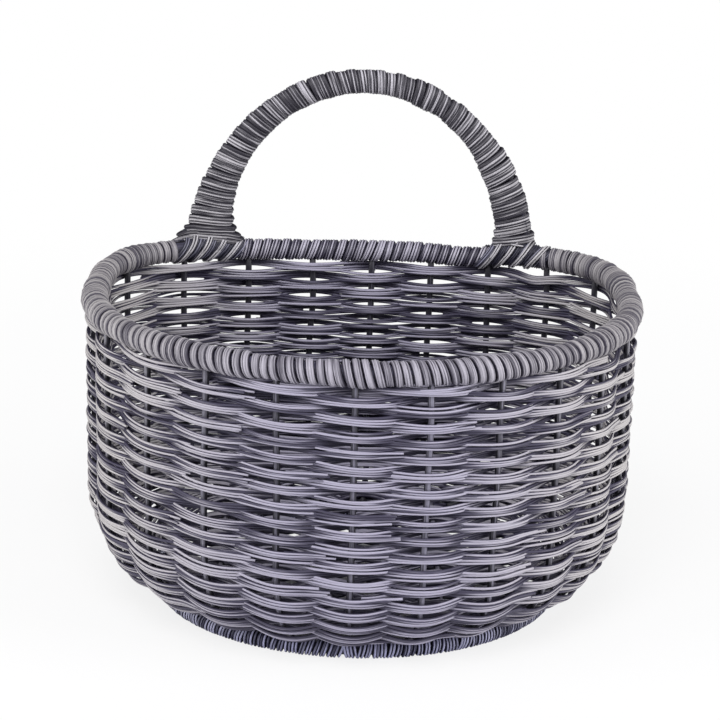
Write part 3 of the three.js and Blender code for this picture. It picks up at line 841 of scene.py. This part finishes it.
around = np.arange(HOOP_STEPS) / HOOP_STEPS
rim_path = rim_middle(around * rim_length)
foot_path = plan_point(FOOT_PLAN, foot_angle(around * foot_length)) + UP * FOOT_Z
for name, path, radius, seed in (
        ("rim", rim_path, RIM_ROD_RADIUS, 1), ("foot", foot_path, FOOT_ROD_RADIUS, 2)):
    rod = strands(path, UP, round_profile(radius, HOOP_SIDES), closed=True, seed=seed)
    make_piece(f"{name}_rod_cane", [rod], ROD_CANE, [f"{name}_rod"])

# %% [markdown]
# ## The rim's binding
# A rounded strap of cane is wound round the rim in front, and a flatter and darker one at the
# back. Each is a ridged profile, carried along a helix round the hoop: the distance along the
# hoop grows with the turns, and a sine adds a lean. Each turn took the wash in its own way, so
# the tone changes from turn to turn, where the strap is hidden.

# %% Straps and their turns
RIDGES = 3


def strap_profile(width, thickness, depth):
    """A flat strap with a ridged face. At t, from 1 to -1 across the width, the face stands
    thickness * sqrt(1 - |t|^3) high, less up to a share, depth, of that in the furrows, which a
    cosine makes. The back is flat."""
    t = np.linspace(1, -1, 4 * RIDGES + 3)
    body = thickness * np.sqrt(np.maximum(1 - np.abs(t) ** 3, 0))
    face = body * (1 - depth / 2 + depth / 2 * np.cos(np.pi * RIDGES * (t + 1) - np.pi))
    return np.column_stack([t * width / 2, face])


def turn_tones(turn, hidden, seed):
    """One random tone for each turn, which changes at the share of a turn that is hidden."""
    number = np.floor(turn - hidden).astype(int)
    number -= number.min()
    return np.random.default_rng(seed).uniform(0, 1, number.max() + 1)[number]


def once_round(steps):
    """Equal angles once round a tube, from its inner side on."""
    return np.pi + np.linspace(0, 2 * np.pi, steps + 1)[:-1]


# %% A winding round the rim
HEAP_HEIGHT = 1.4
HEAP_HALF = 7.5
STRAP_STEPS = 16
PITCH_UNEVEN = 0.05
LUMP_TURNS = 3.5
LEAN_WANDER = (2.0, 0.15)
RIM_HIDDEN = 0.5


def rim_tube(distance, angle, radius):
    """A point on a tube round the rim: middle + radius * (cos(angle) outwards + sin(angle) up)."""
    outwards = np.cross(plan_side(RIM_PLAN, rim_angle(distance)), UP)
    normal = outwards * np.cos(angle)[..., None] + UP * np.sin(angle)[..., None]
    return rim_middle(distance) + normal * np.asarray(radius)[..., None], normal


def heap(distance, angle):
    """How much further out the turns lie where the bow's feet rest on the rim, on its top side:
    a height times exp(-t^4) times sin(angle)."""
    nearest = np.minimum(np.abs(distance - right_foot), np.abs(distance - left_foot))
    return HEAP_HEIGHT * np.exp(-(nearest / HEAP_HALF) ** 4) * np.maximum(np.sin(angle), 0)


def rim_winding(start, end, pitch, lean, hand, profile, radius, lumps, seed):
    """A strap wound round the rim between two distances. hand 1 climbs on the outer side, hand -1
    goes down there, lean moves it along the rim by lean * sin(angle), and lumps is how unevenly
    it lies."""
    turns = max(1, round((end - start) / pitch))
    turn = np.linspace(0, turns, turns * STRAP_STEPS)
    uneven = wander(turn, 1.0, PITCH_UNEVEN * pitch, seed)
    distance = start + (end - start) * turn / turns + uneven
    angle = np.pi / 2 + 2 * np.pi * hand * turn
    puff = wander(turn, 1.0, 0.5 * lumps, seed + 1) + wander(turn, LUMP_TURNS, lumps, seed + 2)
    tilt = lean + wander(turn, *LEAN_WANDER, seed + 3)
    distance = distance + tilt * np.sin(angle)
    reach = radius - profile[:, 1].max() + puff + heap(distance, angle)
    path, normal = rim_tube(distance, angle, reach)
    tone = turn_tones(turn, RIM_HIDDEN, seed + 4)
    return strands(path, normal, profile, seed=seed, tone=tone)


# %% Rim binding
FRONT_RADIUS = 3.9
BACK_RADIUS = 3.5
LASHING_HALF = 10.0

front_winding = rim_winding(
    left_foot + LASHING_HALF, rim_length + right_foot - LASHING_HALF,
    pitch=2.6, lean=-0.35, hand=-1, radius=FRONT_RADIUS, lumps=0.2, seed=700,
    profile=strap_profile(width=2.5, thickness=0.95, depth=0.22))
make_piece("rim_wrap_front", [front_winding], RIM_CANE,
           ["rim_binding_left", "rim_binding_right"])

back_winding = rim_winding(
    right_foot + LASHING_HALF, left_foot - LASHING_HALF,
    pitch=3.0, lean=-0.5, hand=1, radius=BACK_RADIUS, lumps=0.14, seed=710,
    profile=strap_profile(width=2.9, thickness=0.7, depth=0.45))
make_piece("rim_wrap_back", [back_winding], LASHING_CANE, ["rim_binding_back"])

# %% [markdown]
# ## Lashings at the bow's feet
# Where the bow meets the rim the maker ties the two together: leaning turns of dark cane, and over
# them pairs of paler strands that lean the same way and further, at about 40 degrees. The dark
# turns are a helix, as on the rim, and each pale strand is a ring.

# %% Lashings
PAIR_SPACING = 5.0
PAIR_PLACES = (-0.55, 0.45)
PAIR_LEAN = 3.4
PAIR_LIFT = 0.25
PAIR_RADIUS = 0.47
PAIR_STEPS = 32
GROUND_HALF = LASHING_HALF + 1
GROUND_LEAN = 1.1 - PAIR_LEAN
GROUND_LIFT = 0.05

ground_strap = strap_profile(width=2.4, thickness=0.6, depth=0.5)
ring_angle = once_round(PAIR_STEPS)
for number, (side, middle) in enumerate((("right", right_foot), ("left", left_foot))):
    ground = rim_winding(
        middle - GROUND_HALF, middle + GROUND_HALF, pitch=2.3, lean=GROUND_LEAN, hand=1,
        profile=ground_strap, radius=BACK_RADIUS + GROUND_LIFT, lumps=0.06, seed=720 + number)
    make_piece(f"lashing_ground_{side}", [ground], GROUND_CANE)
    pairs = []
    for count, pair_place in enumerate(np.arange(-1.5, 2) * PAIR_SPACING):
        for beside in PAIR_PLACES:
            seed = 900 + 40 * number + 4 * count + int(beside > 0)
            distance = middle + pair_place + beside - PAIR_LEAN * np.sin(ring_angle)
            reach = BACK_RADIUS + PAIR_LIFT + heap(distance, ring_angle)
            path, normal = rim_tube(distance, ring_angle, reach)
            pairs.append(strands(path, normal, round_profile(PAIR_RADIUS), closed=True, seed=seed))
    make_piece(f"lashing_strands_{side}", pairs, BOW_CANE, [f"bow_lashing_{side}"])

# %% [markdown]
# ## The bow
# The bow is half an ellipse above the rim, 8 mm wide at its top and wider towards its feet. Its
# binding is one flat strap of split cane with many fine streaks, wound edge to edge over both
# rods. The section that it goes round is an oval, wide enough for the two rods side by side. At
# the feet the rods part and the last turns spread over the rim, more at the left foot than at the
# right. The strap's cut end shows at the right foot, as a short straight strand across the
# lashing.

# %% The bow's middle line
BOW_RISE = 56.1
BOW_POINTS = 1441
bow_y = float(plan_point(RIM_PLAN, rim_angle(right_foot))[1])


def bow_oval(angle):
    """The ellipse of the bow's middle line at an angle, and its normal in its upright plane."""
    c, s = np.cos(angle), np.sin(angle)
    place = np.stack([BOW_HALF_SPAN * c, bow_y + 0 * c, RIM_Z + BOW_RISE * s], axis=-1)
    return place, unit(np.stack([BOW_RISE * c, 0 * c, BOW_HALF_SPAN * s], axis=-1))


bow_angles = np.linspace(0.0, np.pi, BOW_POINTS)
bow_steps = np.linalg.norm(np.diff(bow_oval(bow_angles)[0], axis=0), axis=1)
bow_along = running_length(bow_steps)
bow_length = bow_along[-1]
print(f"the bow is {bow_length:.0f} mm long")

# %% The bow's section
BOW_TOP_HALF = 3.95
BOW_FOOT_HALF = 6.5
BOW_DEPTH_HALF = 2.6
SPREAD_START = 4
OUTER_SPREADS = ((0.6, 20), (1.1, 22), (4.7, 1.0))
INNER_SPREADS = ((1.0, 12), (1.0, 14), (4.0, 4.0))
LEFT_DROOP = 0.052
DROOP = 0.015
DROOP_FROM = 4
NEARBY = 0.1
BACKWARDS = np.array([0.0, 1.0, 0.0])


def bow_halves(distance):
    """How far the binding reaches outwards and inwards from the middle line. Both grow with the
    square of the distance from the top. One spread at the right foot and two at the left add a
    size times exp(-t), with t the distance from that foot over a length."""
    from_top = 1 - 2 * distance / bow_length
    half = BOW_TOP_HALF + (BOW_FOOT_HALF - BOW_TOP_HALF) * from_top ** 2
    right = np.maximum(distance - SPREAD_START, 0)
    left = np.maximum(bow_length - SPREAD_START - distance, 0)
    halves = []
    for spreads in (OUTER_SPREADS, INNER_SPREADS):
        reach = half
        for from_foot, (size, length) in zip((right, left, left), spreads):
            reach = reach + size * np.exp(-from_foot / length)
        halves.append(reach)
    return halves


def bow_tube(distance, angle, extra):
    """A point on the oval round the bow: the reach outwards or inwards times cos(angle), and the
    half depth times sin(angle) backwards. Away from the middle line it droops, by the square of
    what is over DROOP_FROM, most on the outer side of the left half. The normal leans where the
    reach grows along the bow, so that a strap lies flat on the flare of the feet."""
    place, out = bow_oval(np.interp(distance, bow_along, bow_angles))
    outer, inner = bow_halves(distance)
    reach = np.where(np.cos(angle) > 0, outer, inner) + extra
    depth = BOW_DEPTH_HALF + extra
    across, behind = reach * np.cos(angle), depth * np.sin(angle)
    point = place + out * across[..., None] + BACKWARDS * behind[..., None]
    droop = np.where((place[..., 0] < 0) & (across > 0), LEFT_DROOP, DROOP)
    point[..., 2] -= droop * np.maximum(np.abs(across) - DROOP_FROM, 0) ** 2
    growth = np.stack(bow_halves(distance + NEARBY)) - np.stack(bow_halves(distance - NEARBY))
    slope = np.where(np.cos(angle) > 0, growth[0], growth[1]) / (2 * NEARBY) * np.cos(angle) ** 2
    along = np.cross(BACKWARDS, out)
    normal = (out * np.cos(angle)[..., None] - along * slope[..., None]) / reach[..., None]
    return point, unit(normal + BACKWARDS * (np.sin(angle) / depth)[..., None])


# %% Bow binding
BOW_PITCH = 3.0
BOW_START = 3.2
BOW_STRAP_STEPS = 28
OUTLINE_POINTS = 600
BOW_PITCH_UNEVEN = 0.06
LUMP_WANDER = (1.0, 0.16)
SWELL_WANDER = (2.2, 0.14)
BOW_HIDDEN = 0.25
STRAP_END = ((48.1, 54.7, 98.7), (52.0, 54.7, 98.1))
STRAP_END_STEPS = 6
STRAP_END_RADIUS = 0.42


def bow_winding(start, end, pitch, profile, seed):
    """The binding strap from one distance to another, one turn to each pitch, measured along the
    bow's outer outline, so that the turns stay edge to edge on the flare too."""
    table = np.linspace(start, end, OUTLINE_POINTS)
    outline = running_length(np.hypot(np.diff(table), np.diff(bow_halves(table)[0])))
    turns = round(outline[-1] / pitch)
    turn = np.linspace(0, turns, turns * BOW_STRAP_STEPS)
    distance = np.interp(turn / turns * outline[-1], outline, table)
    distance += wander(turn, 1.0, BOW_PITCH_UNEVEN * pitch, seed)
    extra = wander(turn, *LUMP_WANDER, seed + 1) + wander(turn, *SWELL_WANDER, seed + 2)
    extra -= profile[:, 1].max()
    path, normal = bow_tube(distance, 2 * np.pi * turn, extra)
    tone = turn_tones(turn, BOW_HIDDEN, seed + 3)
    return strands(path, normal, profile, seed=seed, tone=tone)


bow_strap = strap_profile(width=3.3, thickness=0.6, depth=0.34)
bow_turns = bow_winding(BOW_START, bow_length - BOW_START, BOW_PITCH, bow_strap, 730)
end_path = np.linspace(*STRAP_END, STRAP_END_STEPS)
strap_end = strands(end_path, -BACKWARDS, round_profile(STRAP_END_RADIUS), seed=745)
make_piece("bow_wrap", [bow_turns, strap_end], BOW_CANE, ["bow_binding"])

# %% Bow rods
BOW_ROD_START = 4.5
BOW_ROD_RADIUS = 1.5
BOW_ROD_STEPS = 120

rod_distance = np.linspace(BOW_ROD_START, bow_length - BOW_ROD_START, BOW_ROD_STEPS)
rod_middle, rod_out = bow_oval(np.interp(rod_distance, bow_along, bow_angles))
rod_profile = round_profile(BOW_ROD_RADIUS, ROD_SIDES)
for name, sign, reach in zip(("outer", "inner"), (1, -1), bow_halves(rod_distance)):
    path = rod_middle + rod_out * (sign * (reach - BOW_DEPTH_HALF))[:, None]
    group = strands(path, BACKWARDS, rod_profile, seed=740 + sign)
    make_piece(f"bow_rod_{name}_cane", [group], ROD_CANE, [f"bow_rod_{name}"])

# %% [markdown]
# ## The foot band
# The foot ring is bound with fine strands, which show as a narrow band of uprights in groups of
# four, with a thin dark line between the groups. Each strand is a ring round the rod, kept above
# the ground.

# %% Foot binding
FOOT_RADIUS = 2.8
FOOT_GROUP = 4
FOOT_GROUP_PITCH = 4.3
FOOT_STRAND_RADIUS = 0.48
FOOT_STRAND_STEP = 2.1
FOOT_UNEVEN = 0.08
FOOT_LEAN = (0.5, 0.35)
FOOT_RING_STEPS = 14
# The crests of the foot strands are painted less light than a full crest: painted shade on the low
# band.
FOOT_SHADED_CREST = 0.7

group_count = round(foot_length / FOOT_GROUP_PITCH)
group_middle = (np.arange(group_count) + 0.5) * foot_length / group_count
in_group = (np.arange(FOOT_GROUP) - (FOOT_GROUP - 1) / 2) * FOOT_STRAND_STEP * FOOT_STRAND_RADIUS
chance = np.random.default_rng(750)
ring_distance = (group_middle[:, None] + in_group).ravel()
ring_distance += chance.normal(0, FOOT_UNEVEN, len(ring_distance))
ring_lean = np.repeat(chance.normal(*FOOT_LEAN, group_count), FOOT_GROUP)
ring_reach = FOOT_RADIUS - FOOT_STRAND_RADIUS + chance.normal(0, FOOT_UNEVEN, len(ring_distance))

angle = once_round(FOOT_RING_STEPS)
plan_angle = foot_angle(ring_distance[:, None] + ring_lean[:, None] * np.sin(angle))
outwards = np.cross(plan_side(FOOT_PLAN, plan_angle), UP)
normal = outwards * np.cos(angle)[:, None] + UP * np.sin(angle)[:, None]
path = plan_point(FOOT_PLAN, plan_angle) + UP * FOOT_Z + normal * ring_reach[:, None, None]
path[..., 2] = np.maximum(path[..., 2], FOOT_STRAND_RADIUS)
foot_profile = round_profile(FOOT_STRAND_RADIUS)
foot_rings = strands(path, normal, foot_profile, closed=True, seed=751, crest=FOOT_SHADED_CREST)
make_piece("foot_wrap", [foot_rings], SHADED_FOOT_CANE, ["foot_binding"])

# %% [markdown]
# ## The floor of the studio and its light
# The basket stands on a white floor that runs on behind it. The floor's own colour is pale, so it
# still takes the basket's shadow. To the camera alone it also glows, so that it looks white
# without more light on the basket: a little less near the basket, and not at all inside the foot
# ring, where the glow would show through the weave. One big soft lamp above and in front lights
# the strands from over the shoulder, two smaller ones stand low on either side, and the even
# world fills the hollows. To the camera alone the world is plain white.

# %% Studio floor
FLOOR_SIZE = 12.0
SHADOW_SHARE = 0.2
SHADOW_REACH = (0.12, 0.45)
UNDER_BASKET = (0.82, 1.0)
WHITE = (1, 1, 1, 1)

stage = Finish("white studio floor")
seen = stage.add("LightPath", {}, {}, output=0)
place = stage.add("TexCoord", {}, {}, output=3)
far = stage.add("VectorMath", {"operation": "LENGTH"}, {0: place}, output=1)
foot_share = stage.stretched(place, (1 / FOOT_PLAN[0] / MM, 1 / FOOT_PLAN[1] / MM, 0))
under = stage.add("VectorMath", {"operation": "LENGTH"}, {0: foot_share}, output=1)
lit = far.eased(*SHADOW_REACH) * SHADOW_SHARE + (1 - SHADOW_SHARE)
glow_share = seen * lit * under.eased(*UNDER_BASKET)
glow = stage.add("Emission", {}, {"Color": WHITE, "Strength": 1.0})
stage.shade(Base_Color=(0.86, 0.86, 0.87, 1), Roughness=0.9, Specular_IOR_Level=0.0)
plain = Wire(stage, stage.shader.outputs[0])
surface = stage.add("MixShader", {}, {0: glow_share, 1: plain, 2: glow})
stage.put(stage.tree.nodes["Material Output"].inputs["Surface"], surface)

floor_mesh = bpy.data.meshes.new("studio_floor")
half = FLOOR_SIZE / 2
floor_mesh.from_pydata(
    [(-half, -half, 0), (half, -half, 0), (half, half, 0), (-half, half, 0)], [], [(0, 1, 2, 3)])
floor_mesh.materials.append(stage.material)
studio_floor = new_object("studio_floor", floor_mesh)
print("studio floor:", FLOOR_SIZE, "m wide")

# %% Lamps
LAMP_TARGET = (0, 0, 0.05)


def lamp(name, place, size, watts):
    """A square area lamp at a place in metres, turned so that its -Z looks at the basket."""
    data = bpy.data.lights.new(name, "AREA")
    data.size = size
    data.energy = watts
    light = new_object(name, data)
    light.location = place
    aim = Vector(LAMP_TARGET) - Vector(place)
    light.rotation_euler = aim.to_track_quat("-Z", "Y").to_euler()
    print(f"{name}: {aim.length:.2f} m away, {watts} W")


lamp("key_lamp", (-0.15, -0.75, 1.05), size=0.7, watts=9.0)
lamp("right_lamp", (0.9, -0.3, 0.35), size=0.5, watts=5.9)
lamp("left_lamp", (-0.9, -0.3, 0.35), size=0.5, watts=4.2)

# %% World
WORLD_LIGHT = 0.46

world = bpy.data.worlds.new("studio")
world.use_nodes = True
nodes, links = world.node_tree.nodes, world.node_tree.links
background = nodes["Background"]
background.inputs["Color"].default_value = WHITE
ray = nodes.new("ShaderNodeLightPath")
strength = nodes.new("ShaderNodeMapRange")
strength.inputs["To Min"].default_value = WORLD_LIGHT
strength.inputs["To Max"].default_value = 1.0
links.new(ray.outputs["Is Camera Ray"], strength.inputs["Value"])
links.new(strength.outputs["Result"], background.inputs["Strength"])
bpy.context.scene.world = world
bpy.context.scene.view_settings.view_transform = "Standard"
print("world light:", WORLD_LIGHT)
